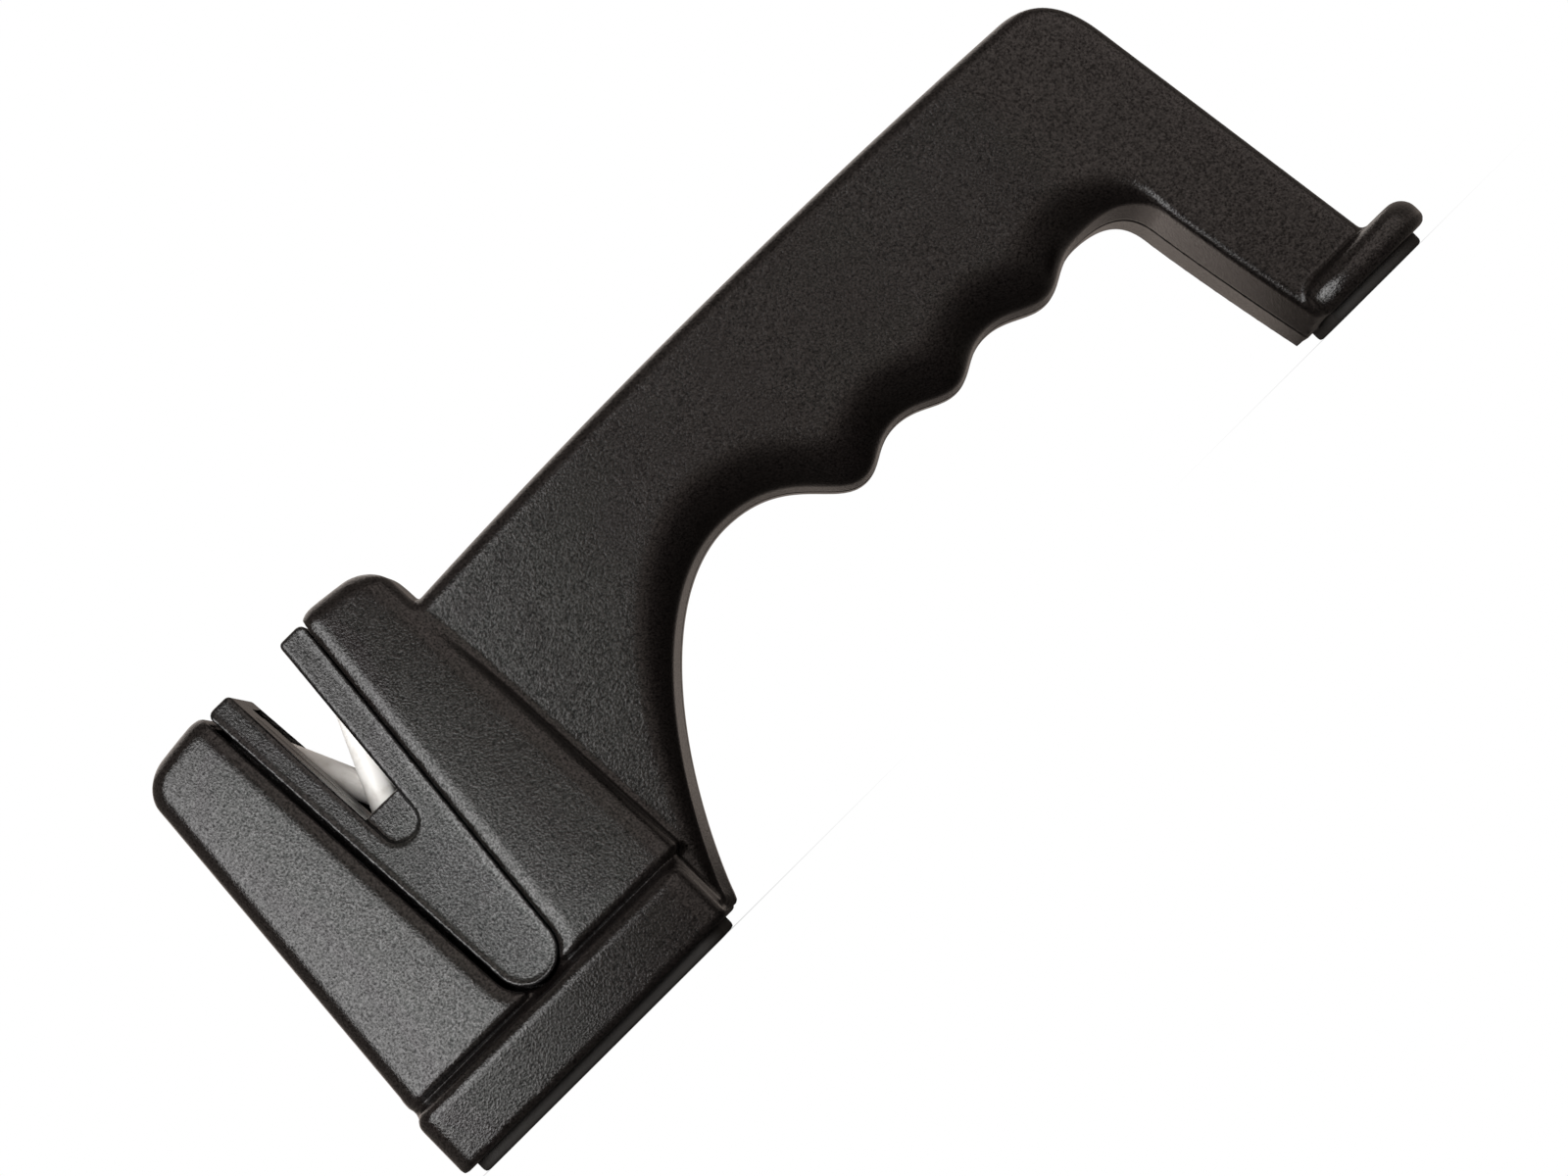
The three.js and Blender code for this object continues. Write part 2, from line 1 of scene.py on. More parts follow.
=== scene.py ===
"""Ceramic rod sharpener: fine moulded shells, rod holder, rods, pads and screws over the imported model.

The moulded pieces are drawn as distance fields. A field says how far each point of a grid lies
outside a piece's surface, in millimetres, and is negative inside it. Fields are joined and cut with
rounded edges, and the finished field is covered with a fine skin of faces.
"""

import json
import math

import bpy
import numpy as np
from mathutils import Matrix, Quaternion, Vector


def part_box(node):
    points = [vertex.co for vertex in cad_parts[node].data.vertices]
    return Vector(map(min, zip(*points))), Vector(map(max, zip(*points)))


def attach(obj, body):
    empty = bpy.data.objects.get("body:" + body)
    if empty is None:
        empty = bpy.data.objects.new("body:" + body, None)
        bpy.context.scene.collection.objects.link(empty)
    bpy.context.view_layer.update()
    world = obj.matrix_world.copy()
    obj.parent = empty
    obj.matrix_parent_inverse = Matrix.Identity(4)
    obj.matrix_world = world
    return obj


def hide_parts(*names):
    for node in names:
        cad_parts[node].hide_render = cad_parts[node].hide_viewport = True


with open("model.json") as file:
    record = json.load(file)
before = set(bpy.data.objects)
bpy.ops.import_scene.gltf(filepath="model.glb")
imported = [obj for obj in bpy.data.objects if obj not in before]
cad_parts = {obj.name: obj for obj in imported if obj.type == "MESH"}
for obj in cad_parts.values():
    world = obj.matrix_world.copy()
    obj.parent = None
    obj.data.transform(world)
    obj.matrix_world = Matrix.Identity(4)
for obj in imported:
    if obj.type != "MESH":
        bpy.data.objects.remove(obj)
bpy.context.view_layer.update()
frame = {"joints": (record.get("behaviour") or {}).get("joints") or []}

MM = 0.001
BODY = "sharpener_body"
SCREWS = ["screw_head_front", "screw_head_rear", "screw_web", "screw_handle", "screw_leg"]


def node_box(node):
    """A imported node's lowest and highest corner, in millimetres."""
    low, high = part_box(node)
    return np.array(low) / MM, np.array(high) / MM


shell_low, shell_high = node_box("near_shell")
block_low, block_high = node_box("near_rod_holder")
base_pad_low, base_pad_high = node_box("base_pad")
foot_pad_low = node_box("foot_pad")[0]
joints = {joint["name"]: joint for joint in frame["joints"]}

# Moulding: wall, the fine bevel along the parting line, and the grids that the skins are drawn on
wall = 2.5
clearance = 0.3
seam_bevel = 0.3
shell_step = 0.5
holder_step = 0.3
pad_step = 0.4
screw_step = 0.18

# Head: cheeks that widen downwards on a plinth, with faces that bulge a little
head_top = shell_high[2]
head_top_half_width = 25.4
head_foot_half_width = 29.2
head_shift = -0.3
head_top_half_depth = 13
head_foot_half_depth = 23.5
head_draft = 0.6
head_corner = 3.4
head_face_bulge = 1.2
head_crown = 2.2
head_crown_lift = 0.8
head_top_round_width = 5.5
head_top_round_height = 4.5
head_top_round_depth = 2.8
cheek_foot = 14.4
cheek_foot_round = 1.2
plinth_foot = shell_low[2]
plinth_top = 13.4
plinth_half_width = 28.4
plinth_half_depth = -shell_low[1]
plinth_shift = -1.35
plinth_round = 2.2
plinth_foot_round = 0.8
valley_depth = 2.2
valley_side_depth = 0.4
valley_lean = 1.5
valley_fillet = 0.4

# Window in the head and the tongue that fills it
tongue_top_half_width = 10.4
tongue_foot_half_width = 5.4
tongue_shift = 0.25
tongue_foot = block_low[2]
tongue_gap = 0.5
tongue_tab = 1.4
tongue_recess = 2
tongue_top = block_high[2]
tongue_edge = 0.4
tongue_dish = 0.25
tongue_lip = 0.2
tongue_lip_width = 0.35
tongue_lip_slope = 0.8
prong_corner = 1.4
window_bevel = 1.7
window_bevel_angle = math.radians(20)
window_bevel_soften = 0.3
window_edge = 0.4

# Knife slot and the crossed rods
slot_top_half_width = 5.5
slot_foot_half_width = 3.1
slot_foot = 44.9
slot_floor = 52
slot_step = 2
slot_edge = 0.8
slit_depth = 2.4
slit_top_drop = 3
slit_wall = 1.2
rod_radius = 4.76 / 2
rod_reach_up = 19.8
rod_reach_down = 21.8
rod_chamfer = 0.5
rod_sides = 64
rod_joint = joints["near_rod_turn"]
rod_crossing = rod_joint["pos_m"][2] / MM
rod_offset = -rod_joint["pos_m"][1] / MM
rod_lean = rod_joint["axis"][0]
rod_rise = rod_joint["axis"][2]
channel_radius = rod_radius + clearance
block_wall = 1.8
block_half_width = block_high[0]
block_half_depth = rod_offset + channel_radius + block_wall
block_top = rod_crossing + rod_reach_up * rod_rise + rod_radius + block_wall
block_foot = rod_crossing - rod_reach_down * rod_rise - rod_radius - block_wall
block_edge = 0.4

# Foot flange and the two pads
flange_top = 7.8
flange_half_length = 14.4
flange_half_width = 17
flange_middle = shell_high[0] - flange_half_length
flange_setback = 11.7
flange_round = 3.2
flange_foot_round = 1.6
flange_flat_setback = 1.5
flange_fullness = 2.7
foot_pad_margin = 3
foot_pad_corner = 0.8
base_pad_corner = 4
pad_edge = 0.7

# Handle, web and rear leg
leg_reach = flange_middle - flange_setback
handle_half_depth = 12.8
near_draft = 1.3
far_draft = 0.2
palm_scoop = 1.2
palm_start = 38
palm_end = 143
palm_soften = 3
handle_top_at_head = 70.2
handle_crown = 73.65
handle_top_at_rear = 72.25
web_foot_proud = 0.9
web_foot_height = 2.2
web_foot = np.array([plinth_half_width + plinth_shift + web_foot_proud, web_foot_height])
arch_climb = np.array([7, 19.3])
arch_crown_ease = 17
arch_fall_ease = 13.5
arch_foot_ease = 6.5
arch_crown_height = 46.1
arch_fall_run = 21.3
grip_run = 65.9
ridge_height = 35.3
first_ridge = np.array([leg_reach - grip_run, ridge_height])
arch_crown = np.array([first_ridge[0] - arch_fall_run, arch_crown_height])
ridge_pitch = 20.3
groove_place = 0.475
groove_depth = 3.2
groove_count = 3
ridge_ease = 3.6
groove_ease = 4.6
knee_ease = 7
knee_drop = 4.5
leg_inner_lean = 5.2
leg_inner_height = 31.5
leg_inner_top = np.array([leg_reach - leg_inner_lean, leg_inner_height])
shin_lean = 1.6
shin_drop = 11.5
shin = leg_inner_top + [shin_lean, -shin_drop]
leg_inner_foot = np.array([leg_reach, plinth_foot])
leg_foot_width = 18.1
leg_outer_foot = leg_inner_foot + [leg_foot_width, 0]
leg_outer_lean = 7.5
rear_corner = 12.8
grip_round = 8
top_round = 2.4
leg_inner_round = 1
handle_fillet = 1
crease_soften = 1.5
crease_fade = 4

# Screws
screw_shaft = 1.5
screw_head_radius = 3.1
screw_head_height = 2.1
screw_seat = 3
screw_reach = 9
screw_pitch = 1.2
screw_thread = 0.35
screw_crest = 0.2
screw_tip = 2.5
screw_dome_drop = 2.2
screw_head_edge = 0.3
screw_recess_half_width = 0.45
screw_recess_reach = 1.7
screw_recess_depth = 1.1
boss_wall = 1.7


# Joining and cutting fields
def round_and(a, b, radius):
    """What lies in both, with the edge where they meet rounded to a radius."""
    corner = np.hypot(np.maximum(a + radius, 0), np.maximum(b + radius, 0))
    return np.minimum(np.maximum(a, b), -radius) + corner


def round_or(a, b, radius):
    """What lies in either, with a fillet of a radius where they meet."""
    corner = np.hypot(np.maximum(radius - a, 0), np.maximum(radius - b, 0))
    return np.maximum(np.minimum(a, b), radius) - corner


def soft_and(a, b, reach):
    """What lies in both, with a blunt edge between faces that meet at a small angle eased over a reach."""
    return np.maximum(a, b) + np.maximum(reach - np.abs(a - b), 0) ** 2 / (4 * reach)


def ease(low, high, value):
    """0 below low, 1 above high and smooth between."""
    share = np.clip((value - low) / (high - low), 0, 1)
    return share * share * (3 - 2 * share)


def rounded_box(x, y, half_x, half_y, corner):
    """A level rectangle with rounded corners."""
    return round_and(np.abs(x) - half_x, np.abs(y) - half_y, corner)


def grid(low, high, step, depth_lines=None):
    """Grid lines around a box, and the same as arrays that spread against each other."""
    lines = [np.arange(a - 1.5 * step, b + 2 * step, step) for a, b in zip(low, high)]
    if depth_lines is not None:
        lines[1] = depth_lines
    return lines, np.meshgrid(*lines, indexing="ij", sparse=True)


def half_depth_lines(deepest, step):
    """Lines from the parting plane outwards, close together at the seam."""
    return np.r_[-seam_bevel / 5, seam_bevel / 5, np.arange(seam_bevel, deepest + 2 * step, step)]


def skin(field, lines, halved=False):
    """Faces over a field's zero surface, with one point in each grid cell that it crosses.

    A halved piece ends in the first layer of cells, where its rim is drawn onto the parting plane.
    """
    inside = field < 0
    cells = np.array(field.shape) - 1
    sums = np.zeros((4, cells.prod()))
    quads = []
    for axis in range(3):
        side, other = (axis + 1) % 3, (axis + 2) % 3
        lower = np.moveaxis(inside, axis, 0)[:-1]
        upper = np.moveaxis(inside, axis, 0)[1:]
        edge = np.argwhere(np.moveaxis(lower != upper, 0, axis))
        beyond = edge.copy()
        beyond[:, axis] += 1
        start, end = field[tuple(edge.T)], field[tuple(beyond.T)]
        point = np.stack([lines[k][edge[:, k]] for k in range(3)])
        point[axis] += start / (start - end) * (lines[axis][beyond[:, axis]] - point[axis])
        on_plane = (edge[:, 1] == 0) & (axis == 1) & halved
        weight = np.where(on_plane, 1e-6, 1)
        around = []
        for side_step, other_step in ((1, 1), (0, 1), (0, 0), (1, 0)):
            cell = edge.copy()
            cell[:, side] -= side_step
            cell[:, other] -= other_step
            around.append(np.ravel_multi_index(cell.T, cells))
            for total, part in zip(sums, [*point * weight, weight]):
                total += np.bincount(around[-1], part, minlength=len(total))
        quad = np.stack(around, axis=1)
        quad[start > 0] = quad[start > 0, ::-1]
        quads.append(quad)
    used = np.flatnonzero(sums[3])
    points = (sums[:3, used] / sums[3, used]).T
    if halved:
        points[np.unravel_index(used, cells)[1] == 0, 1] = 0
    number = np.zeros(len(sums[3]), int)
    number[used] = np.arange(len(used))
    return points, number[np.concatenate(quads)]


# Outlines in X and Z
def bezier(*handles, steps):
    """Points along a curve from its first handle to its last, without the last one."""
    share = np.arange(steps)[:, None] / steps
    points = [np.asarray(handle, float) for handle in handles]
    while len(points) > 1:
        points = [a + (b - a) * share for a, b in zip(points, points[1:])]
    return points[0]


def level_ended(start, end, leave, arrive, steps):
    """A curve that leaves and arrives level."""
    return bezier(start, start + [leave, 0], end - [arrive, 0], end, steps=steps)


def handle_outline():
    """The handle, web and leg seen from the side: stretches of points with their edge's radius."""
    ridges = [first_ridge + [i * ridge_pitch, 0] for i in range(groove_count)]
    grooves = [ridge + [groove_place * ridge_pitch, groove_depth] for ridge in ridges]
    leg_outer_top = np.array([leg_outer_foot[0] - leg_outer_lean, handle_top_at_rear - rear_corner])
    rear_top = np.array([leg_outer_top[0] - rear_corner, handle_top_at_rear])
    leg_slope = (leg_outer_foot - leg_outer_top) / (leg_outer_top[1] - plinth_foot)
    head_end = np.array([0, handle_top_at_head])
    bow_height = 2 * handle_crown - (handle_top_at_head + handle_top_at_rear) / 2
    bow = np.array([rear_top[0] / 2, bow_height])
    shin_up = (leg_inner_top - shin) / np.linalg.norm(leg_inner_top - shin)
    stretches = [
        (bezier(web_foot, web_foot + arch_climb, arch_crown - [arch_crown_ease, 0], arch_crown, steps=60),
         leg_inner_round, grip_round),
        (level_ended(arch_crown, ridges[0], arch_fall_ease, arch_foot_ease, steps=30),
         grip_round, grip_round),
    ]
    for i, groove in enumerate(grooves):
        fall = level_ended(ridges[i], groove, ridge_ease, groove_ease, steps=14)
        stretches.append((fall, grip_round, grip_round))
        if i + 1 < groove_count:
            rise = level_ended(groove, ridges[i + 1], groove_ease, ridge_ease, steps=14)
            stretches.append((rise, grip_round, grip_round))
    knee = bezier(grooves[-1], grooves[-1] + [knee_ease, 0], leg_inner_top + knee_drop * shin_up,
                  leg_inner_top, steps=20)
    stretches += [
        (knee, grip_round, leg_inner_round),
        (bezier(leg_inner_top, shin, leg_inner_foot, steps=20), leg_inner_round, leg_inner_round),
        (bezier(leg_inner_foot, leg_outer_foot, steps=4), leg_inner_round, top_round),
        (bezier(leg_outer_foot, leg_outer_top, steps=8), top_round, top_round),
        (bezier(leg_outer_top, leg_outer_top - leg_slope * rear_corner, rear_top, steps=16),
         top_round, top_round),
        (bezier(rear_top, bow, head_end, steps=40), top_round, top_round),
        (bezier(head_end, [0, web_foot[1]], web_foot, steps=4), top_round, leg_inner_round),
    ]
    points = np.concatenate([curve for curve, _, _ in stretches])
    rounds = np.concatenate([np.linspace(a, b, len(curve)) for curve, a, b in stretches])
    return points, rounds


def outline_distance(outline, x, z):
    """Signed distance to a closed outline, and the place along it that is nearest."""
    x, z = np.broadcast_arrays(x, z)
    nearest = np.full(x.shape, np.inf)
    place = np.zeros(x.shape)
    inside = np.zeros(x.shape, bool)
    for i, (start, end) in enumerate(zip(outline, np.roll(outline, -1, axis=0))):
        way_x, way_z = end - start
        from_x, from_z = x - start[0], z - start[1]
        share = np.clip((from_x * way_x + from_z * way_z) / (way_x**2 + way_z**2), 0, 1)
        gap = np.hypot(from_x - share * way_x, from_z - share * way_z)
        nearer = gap < nearest
        nearest = np.where(nearer, gap, nearest)
        place = np.where(nearer, i + share, place)
        if way_z:
            straddles = (start[1] > z) != (end[1] > z)
            inside ^= straddles & (from_x < from_z * way_x / way_z)
    return np.where(inside, -nearest, nearest), place


def softened(field, reach, step):
    """A field seen from the side, blurred over a reach so that it has no creases."""
    # Each pass spreads by half a step, and spreads add up by their squares.
    for _ in range(round(4 * (reach / step) ** 2)):
        wide = np.pad(field, ((1, 1), (0, 0), (1, 1)), mode="edge")
        beside = wide[:-2, :, 1:-1] + wide[2:, :, 1:-1] + wide[1:-1, :, :-2] + wide[1:-1, :, 2:]
        field = (beside + 4 * field) / 8
    return field


# The shells
def handle_from_side(x, z):
    """How far each place lies outside the handle's outline, and how round the nearest edge is."""
    outline, rounds = handle_outline()
    outside, place = outline_distance(outline, x, z)
    smooth = softened(outside, crease_soften, shell_step)
    outside = outside + (smooth - outside) * ease(crease_soften, crease_fade, -outside)
    edge = np.interp(place, np.arange(len(rounds) + 1), np.r_[rounds, rounds[0]])
    return outside, softened(edge, crease_soften, shell_step)


def handle(x, depth, from_side, draft):
    """Handle, web and leg, with a shallow scoop for the palm in the handle's face."""
    outside, edge = from_side
    # The scoop is deepest at two thirds of its length, where 27 / 4 makes it palm_scoop deep.
    length = palm_end - palm_start
    share = np.clip((x - palm_start) / length, 0, 1)
    left = (palm_end - x + np.hypot(palm_end - x, palm_soften)) / 2 / length
    half_depth = handle_half_depth - palm_scoop * share * share * left * 27 / 4
    return round_and(outside + draft * depth / handle_half_depth, depth - half_depth, edge)


def head_face(x, depth, z):
    """Distance out from the head's sloping, slightly bulging face."""
    share = (z - cheek_foot) / (head_top - cheek_foot)
    half_depth = head_foot_half_depth + (head_top_half_depth - head_foot_half_depth) * share
    slope = (head_foot_half_depth - head_top_half_depth) / (head_top - cheek_foot)
    bulge = head_face_bulge * (1 - (x / head_foot_half_width) ** 2)
    return (depth - half_depth + head_face_bulge - bulge) * math.cos(math.atan(slope))


def cheeks(x, depth, z):
    share = (z - cheek_foot) / (head_top - cheek_foot)
    half_width = head_foot_half_width + (head_top_half_width - head_foot_half_width) * share
    side = np.abs(x - head_shift) - half_width + head_draft * depth / head_foot_half_depth
    squash = head_top_round_height / head_top_round_width
    crown = head_crown * ((x - head_shift) / head_top_half_width) ** 2 - head_crown_lift
    flank = round_and(side * squash, z - head_top + crown, head_top_round_height)
    near_top = ease(head_top - 2 * head_top_round_height, head_top, z)
    flank = flank * (1 / squash + (1 - 1 / squash) * near_top)
    corner = head_corner + (head_top_round_depth - head_corner) * near_top
    block = round_and(flank, head_face(x, depth, z), corner)
    return round_and(block, cheek_foot - z, cheek_foot_round)


def neck(x, depth, z):
    half_width = plinth_half_width - valley_side_depth
    slope = np.clip(valley_lean * (cheek_foot - z), 0, valley_depth)
    half_depth = head_foot_half_depth - valley_depth + slope
    middle = (head_shift + plinth_shift) / 2
    walls = rounded_box(x - middle, depth, half_width, half_depth, head_corner) / math.hypot(1, valley_lean)
    foot = plinth_foot + plinth_round
    return np.maximum(walls, np.maximum(foot - z, z - cheek_foot - 2 * cheek_foot_round))


def plinth(x, depth, z):
    bulge = head_face_bulge * ((x - plinth_shift) / plinth_half_width) ** 2
    draft = head_draft * depth / plinth_half_depth
    walls = rounded_box(x - plinth_shift, depth + bulge, plinth_half_width - draft, plinth_half_depth,
                        head_corner)
    lid = round_and(walls, z - plinth_top, plinth_round)
    return round_and(lid, plinth_foot - z, plinth_foot_round)


def oval(x, depth, half_length, half_width):
    """A level oval, fuller than an ellipse, as a distance that holds near its edge."""
    power = flange_fullness
    along, across = np.abs(x) / half_length, np.abs(depth) / half_width
    size = np.maximum((along**power + across**power) ** (1 / power), 1e-3)
    slope_along = (along / size) ** (power - 1) / half_length
    slope_across = (across / size) ** (power - 1) / half_width
    return (size - 1) / np.hypot(slope_along, slope_across)


def foot_flange(x, depth, z):
    edge = oval(x - flange_middle, depth, flange_half_length, flange_half_width)
    edge = round_and(edge, leg_inner_foot[0] + flange_flat_setback - x, leg_inner_round)
    lid = round_and(edge, z - flange_top, flange_round)
    return round_and(lid, plinth_foot - z, flange_foot_round)


def wedge(x, z, grow):
    """The tongue's outline, widened by grow: a round foot and sides that open upwards."""
    foot_half = tongue_foot_half_width + grow
    top_half = tongue_top_half_width + grow
    centre = tongue_foot - grow + foot_half
    half_width = foot_half + (top_half - foot_half) * (z - centre) / (head_top - centre)
    return np.where(z > centre, np.abs(x) - half_width, np.hypot(x, z - centre) - foot_half)


def base_pad_outline(x, depth, grow):
    middle = (base_pad_low + base_pad_high) / 2
    half = (base_pad_high - base_pad_low) / 2 + grow
    return rounded_box(x - middle[0], depth, half[0], half[1], base_pad_corner + grow)


def foot_pad_outline(x, depth, grow):
    half_length = flange_half_length - foot_pad_margin + grow
    half_width = flange_half_width - foot_pad_margin + grow
    edge = oval(x - flange_middle, depth, half_length, half_width)
    return round_and(edge, foot_pad_low[0] - grow - x, foot_pad_corner)


def screw_place(screw):
    low, high = node_box(screw)
    return (low + high) / 2


def shell_inside(x, depth, z, boss_radius):
    """Screw bosses, the shelf under the rod holder and the ribs that press on it."""
    shelf_top = block_foot - clearance
    shelf = np.maximum(np.abs(x) - block_half_width, np.abs(z - shelf_top + wall / 2) - wall / 2)
    rib_across = np.abs(np.abs(x) - block_half_width + wall / 2) - wall / 2
    rib_upright = np.maximum(block_foot - z, z - block_top)
    ribs = np.maximum(np.maximum(rib_across, rib_upright), block_half_depth + clearance - depth)
    inside = np.minimum(shelf, ribs)
    for screw in SCREWS:
        place = screw_place(screw)
        inside = np.minimum(inside, np.hypot(x - place[0], z - place[2]) - boss_radius)
    return inside


def shell_outside(x, depth, z, from_side, draft):
    """The whole moulded body, and the part of it that is hollow."""
    core = round_or(cheeks(x, depth, z), neck(x, depth, z), valley_fillet)
    core = round_or(core, handle(x, depth, from_side, draft), handle_fillet)
    outside = round_or(core, plinth(x, depth, z), valley_fillet)
    outside = round_or(outside, foot_flange(x, depth, z), handle_fillet)
    return outside + np.maximum(seam_bevel - depth, 0), core


def screw_holes(x, depth, z, counterbored):
    """Pilot holes, or through holes under counterbores for the heads."""
    holes = np.inf
    for screw in SCREWS:
        place = screw_place(screw)
        across = np.hypot(x - place[0], z - place[2])
        pilot = np.maximum(across - screw_shaft - clearance, depth - screw_reach - clearance)
        if counterbored:
            bore = np.maximum(across - screw_head_radius - clearance, screw_seat - depth)
            pilot = np.minimum(pilot, bore)
        holes = np.minimum(holes, pilot)
    return holes


def shell_skins():
    """Points and faces of the near and the far shell."""
    deepest = plinth_half_depth
    lines, (x, depth, z) = grid(shell_low, shell_high, shell_step, half_depth_lines(deepest, shell_step))
    from_side = handle_from_side(x, z)
    window = wedge(x, z, tongue_gap)
    pad_top = base_pad_high[2]
    pads = np.minimum(base_pad_outline(x, depth, clearance), foot_pad_outline(x, depth, clearance))
    recess = np.maximum(pads, z - pad_top)
    for counterbored, draft in ((False, near_draft), (True, far_draft)):
        outside, core = shell_outside(x, depth, z, from_side, draft)
        hollow = np.maximum(core + wall, pad_top + wall - z)
        walls = np.maximum(outside, -hollow)
        screw_room = screw_head_radius if counterbored else screw_shaft
        inside = shell_inside(x, depth, z, screw_room + clearance + boss_wall)
        shell = np.minimum(walls, np.maximum(inside, outside + wall / 2))
        bevel = outside * math.cos(window_bevel_angle)
        bevel = bevel + (window_bevel - window) * math.sin(window_bevel_angle)
        bevelled = soft_and(outside, bevel, window_bevel_soften)
        shell = np.maximum(shell, round_and(bevelled, -window, window_edge))
        holes = screw_holes(x, depth, z, counterbored)
        shell = np.maximum(np.maximum(shell, -holes), np.maximum(-recess, -depth))
        yield skin(shell, lines, halved=True)


# The rod holder
def slot_half_width(z):
    taper = (slot_top_half_width - slot_foot_half_width) / (head_top - slot_foot - slot_foot_half_width)
    return slot_top_half_width - (head_top - z) * taper


def rod_holder_skin():
    """Points and faces of the near half; the far half is the same piece turned about."""
    high = block_high.copy()
    high[1] = -block_low[1]
    low = block_low - [0, 0, tongue_tab]
    lines, (x, depth, z) = grid(low, high, holder_step, half_depth_lines(high[1], holder_step))
    outline = wedge(x - tongue_shift, z, 0)
    dish = tongue_dish * np.clip(1 - (x / tongue_top_half_width) ** 2, 0, 1)
    dish = dish + tongue_lip * ease(tongue_lip_width, tongue_lip_width + tongue_lip_slope, -outline)
    face = head_face(0, depth, z) + tongue_recess + dish
    tongue = round_and(outline, z - tongue_top, prong_corner)
    tongue = round_and(tongue, face, tongue_edge)
    slot_side = np.abs(x) - slot_half_width(z)
    centre = slot_foot + slot_foot_half_width
    recess = np.where(z > centre, slot_side, np.hypot(x, z - centre) - slot_foot_half_width)
    open_part = np.minimum(-face - slot_step, slot_floor - z)
    tongue = round_and(tongue, -np.maximum(recess, open_part), slot_edge)
    block = round_and(np.abs(x) - block_half_width, depth - block_half_depth, block_edge)
    block = round_and(block, np.maximum(block_foot - z, z - block_top), block_edge)
    block = round_and(block, -np.maximum(slot_side, slot_floor - z), block_edge)
    tab = np.maximum(wedge(x, z, tongue_tab), depth - block_half_depth)
    tab = np.maximum(tab, z - block_foot)
    holder = np.minimum(round_or(tongue, block, block_edge), tab)
    slit = np.maximum(-x, x - slot_half_width(z) - slit_depth)
    slit = np.maximum(slit, face + slit_wall)
    slit = np.maximum(slit, np.maximum(slot_floor - z, z - head_top + slit_top_drop))
    along = x * rod_lean + (z - rod_crossing) * rod_rise
    across = np.hypot(x * rod_rise - (z - rod_crossing) * rod_lean, depth - rod_offset)
    channel = np.maximum(across - channel_radius, along - rod_reach_up - clearance)
    channel = np.maximum(channel, -along - rod_reach_down - clearance)
    holder = np.maximum(holder, -np.minimum(slit, channel))
    return skin(np.maximum(holder, -depth), lines, halved=True)


# Pads, screws and rods
def pad_skin(outline, low, high):
    lines, (x, depth, z) = grid(low, high, pad_step)
    lid = np.abs(z - (low[2] + high[2]) / 2) - (high[2] - low[2]) / 2
    return skin(round_and(outline(x, depth, 0), lid, pad_edge), lines)


def screw_skin():
    """A pan-head screw with its seat at the origin, its head along +Y, a cross recess and a thread."""
    low = np.array([-screw_head_radius, -screw_seat - screw_reach, -screw_head_radius])
    high = np.array([screw_head_radius, screw_head_height, screw_head_radius])
    lines, (x, along, z) = grid(low, high, screw_step)
    across = np.hypot(x, z)
    dome = np.hypot(across, along + screw_dome_drop) - screw_head_height - screw_dome_drop
    pan = round_and(across - screw_head_radius, np.maximum(dome, -along), screw_head_edge)
    arms = np.minimum(
        np.maximum(np.abs(x) - screw_recess_half_width, np.abs(z) - screw_recess_reach),
        np.maximum(np.abs(z) - screw_recess_half_width, np.abs(x) - screw_recess_reach))
    pan = np.maximum(pan, -np.maximum(arms, screw_head_height - screw_recess_depth - along))
    turn = along / screw_pitch - np.arctan2(z, x) / (2 * math.pi)
    crest = np.abs(turn - np.round(turn)) * 2
    tip = ease(low[1], low[1] + screw_tip, along)
    core = screw_shaft * tip + screw_crest - screw_thread * crest
    shaft = np.maximum(across - core, np.maximum(low[1] - along, along - screw_crest))
    return skin(np.minimum(pan, shaft), lines)


def rod_skin():
    """A ground rod with chamfered ends, upright on its crossing point."""
    sides = rod_sides
    rings = [
        (rod_radius - rod_chamfer, -rod_reach_down), (rod_radius, rod_chamfer - rod_reach_down),
        (rod_radius, rod_reach_up - rod_chamfer), (rod_radius - rod_chamfer, rod_reach_up),
    ]
    angles = np.arange(sides) * 2 * math.pi / sides
    points = [(r * math.cos(a), r * math.sin(a), z) for r, z in rings for a in angles]
    faces = [tuple(range(sides))[::-1], tuple(range(len(points) - sides, len(points)))]
    for ring in range(len(rings) - 1):
        for i in range(sides):
            low, next_low = ring * sides + i, ring * sides + (i + 1) % sides
            faces.append((low, next_low, next_low + sides, low + sides))
    return np.array(points), faces


# Materials: where most of a noise texture's values lie, and the moulded grain in millimetres
noise_low = 0.3
noise_high = 0.7
grain_size = 0.35
grain_height = 0.05


def to_linear(code):
    """An sRGB hex colour as linear RGBA."""
    parts = [int(code[i:i + 2], 16) / 255 for i in (1, 3, 5)]
    linear = [p / 12.92 if p <= 0.04045 else ((p + 0.055) / 1.055) ** 2.4 for p in parts]
    return (*linear, 1)


def add_node(tree, kind, inputs=None, **settings):
    """Adds a node; each input is either a value or the output that feeds it."""
    node = tree.nodes.new(kind)
    for name, value in settings.items():
        setattr(node, name, value)
    for socket, value in (inputs or {}).items():
        if isinstance(value, bpy.types.NodeSocket):
            tree.links.new(value, node.inputs[socket])
        else:
            node.inputs[socket].default_value = value
    return node


def new_material(name):
    material = bpy.data.materials.new(name)
    material.use_nodes = True
    tree = material.node_tree
    surface = tree.nodes["Principled BSDF"]
    place = add_node(tree, "ShaderNodeTexCoord").outputs["Object"]
    return material, tree, surface, place


def per_mm(size):
    """A texture's scale, in features per metre, for a feature of a size in millimetres."""
    return 1 / (size * MM)


